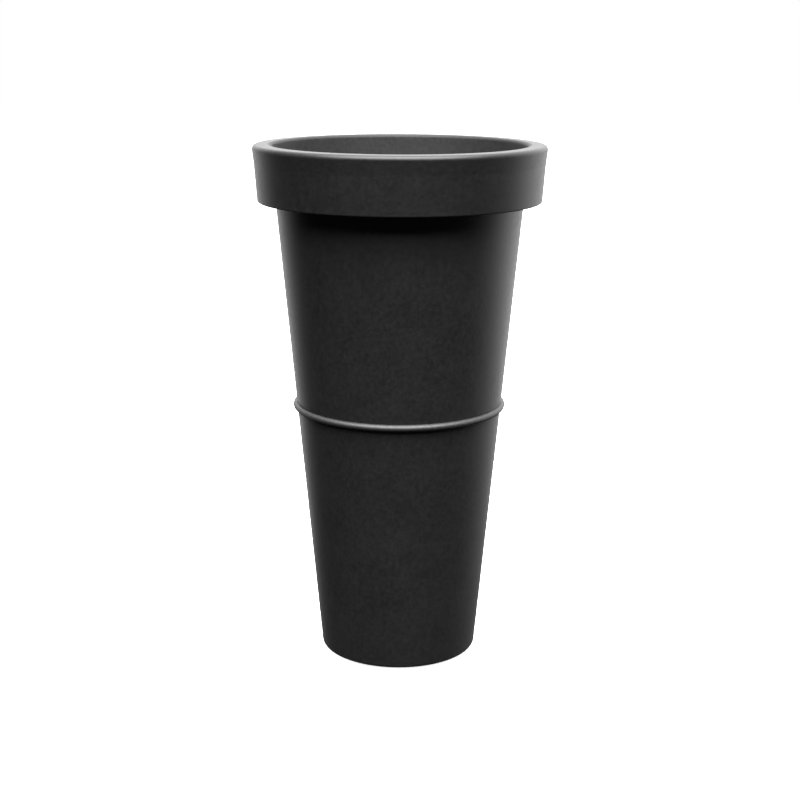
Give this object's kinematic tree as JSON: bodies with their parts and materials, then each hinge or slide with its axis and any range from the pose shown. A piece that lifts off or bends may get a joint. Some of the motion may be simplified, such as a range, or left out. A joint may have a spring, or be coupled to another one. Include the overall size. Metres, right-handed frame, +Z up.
{
  "type": "tall planter",
  "caption": "Tall round tapered planter with a deep collar, a waist bead, a lift-out planting shelf and a plugged drain, on rubber feet.",
  "frame": {"origin": "on the floor under the middle of the base, level with the bottom of the feet", "axes": "+Z up along the planter's centre line, from the base to the mouth; the planter is round, with its feet between the X and Y axes and the shelf's finger holes along X"},
  "size_m": [0.508, 0.508, 0.9144],
  "materials": {
    "coating": "satin",
    "laminate": "matte",
    "foam_core": "matte",
    "board": "matte",
    "shelf_plastic": "matte",
    "fitting_plastic": "satin",
    "rubber": "matte",
    "stainless": "satin"
  },
  "bodies": {
    "planter": {"body_shell": "coating", "rim_collar": "coating", "rim_soffit": "coating", "rim_core_1": "foam_core", "rim_core_2": "foam_core", "rim_core_3": "foam_core", "rim_core_4": "foam_core", "waist_bead": "coating", "base_board": "board", "shelf_cleat_1": "laminate", "shelf_cleat_2": "laminate", "shelf_cleat_3": "laminate", "shelf_cleat_4": "laminate", "drain_fitting": "fitting_plastic", "drain_gasket": "rubber", "drain_nut": "fitting_plastic", "foot_1": "rubber", "foot_2": "rubber", "foot_3": "rubber", "foot_4": "rubber", "foot_screw_1": "stainless", "foot_screw_2": "stainless", "foot_screw_3": "stainless", "foot_screw_4": "stainless"},
    "shelf": {"planting_shelf": "shelf_plastic"},
    "plug": {"drain_plug": "rubber", "plug_seal": "rubber"}
  },
  "joints": [
    {"name": "shelf_lift", "type": "slide", "parent": "planter", "child": "shelf", "axis": [0, 0, 1], "range_m": [0, 0.42]},
    {"name": "plug_lift", "type": "slide", "parent": "planter", "child": "plug", "axis": [0, 0, 1], "range_m": [0, 0.04]}
  ]
}
